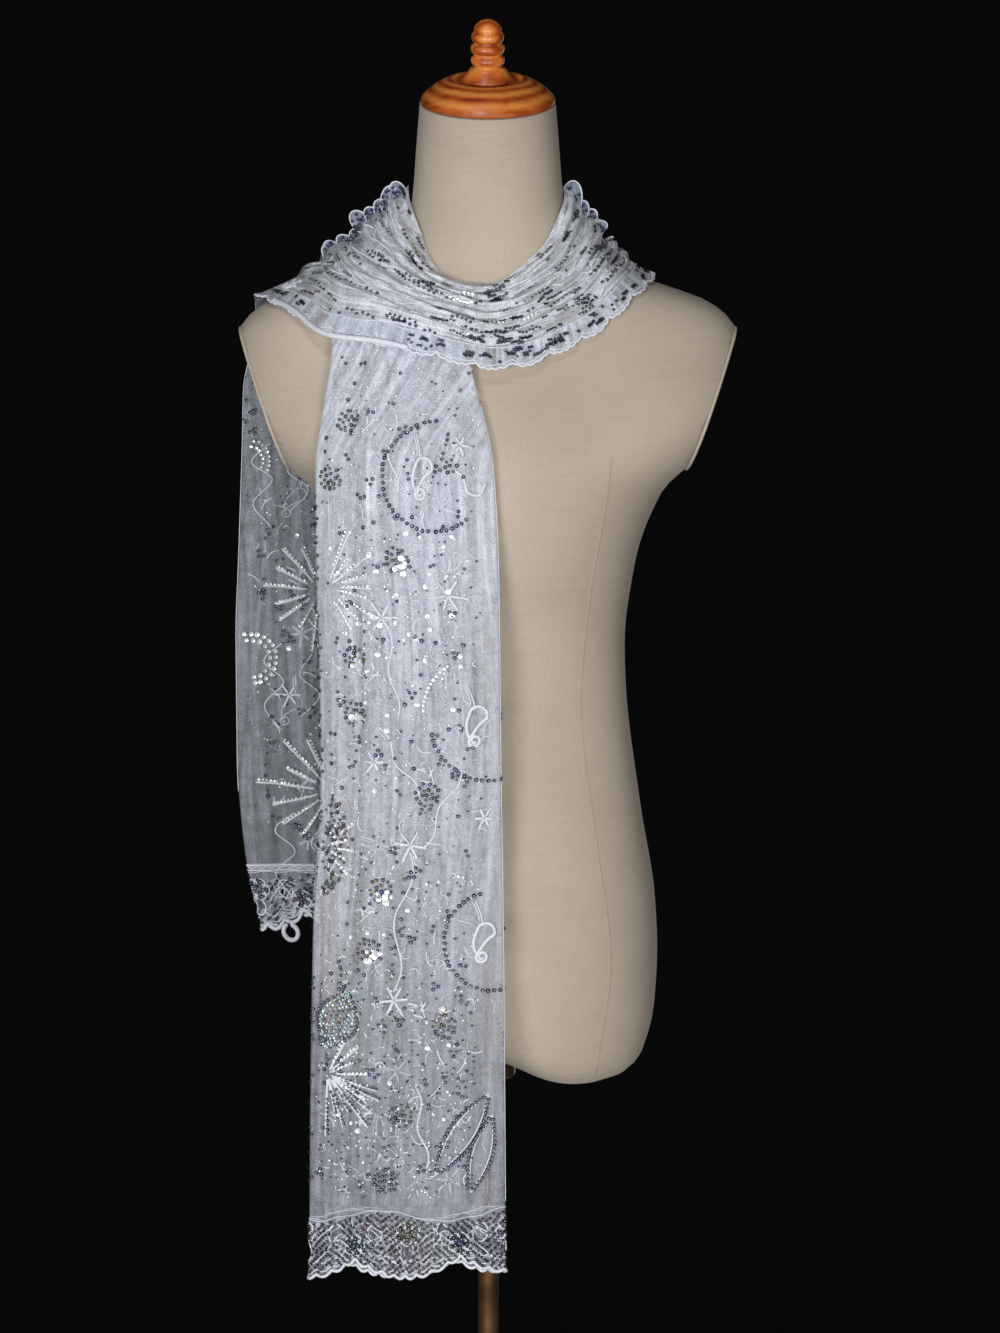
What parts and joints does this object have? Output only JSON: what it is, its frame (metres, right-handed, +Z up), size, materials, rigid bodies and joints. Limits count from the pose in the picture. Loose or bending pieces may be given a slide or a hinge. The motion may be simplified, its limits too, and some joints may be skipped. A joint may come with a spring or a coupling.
{
  "type": "evening stole on dress form",
  "caption": "Long sheer sequinned evening stole with scalloped lace borders, wound once round the neck of a limbless linen dress form on a pole stand.",
  "frame": {"origin": "on the floor under the middle of the round base, on the pole's axis", "axes": "+Z up along the pole; the form faces -Y; +X to the viewer's right when facing the form's chest"},
  "size_m": [0.4071, 0.33, 1.5389],
  "materials": {
    "net": "sheer, soft sheen",
    "lace": "corded lace with sequins",
    "linen": "matte fine weave",
    "wood": "varnished",
    "bronze": "satin"
  },
  "bodies": {
    "root": {"front_tail": "net", "nape_wrap": "net", "neck_band": "net", "back_tail": "net", "front_hem_lace": "lace", "back_hem_lace": "lace", "front_tail_edge_lace": "lace", "nape_edge_lace_lower": "lace", "nape_edge_lace_upper": "lace", "band_edge_lace": "lace", "back_tail_edge_lace": "lace", "torso": "linen", "arm_plate_left": "linen", "arm_plate_right": "linen", "neck_cap": "wood", "finial": "wood", "pole_socket": "bronze", "pole": "bronze", "base": "bronze"}
  },
  "joints": []
}
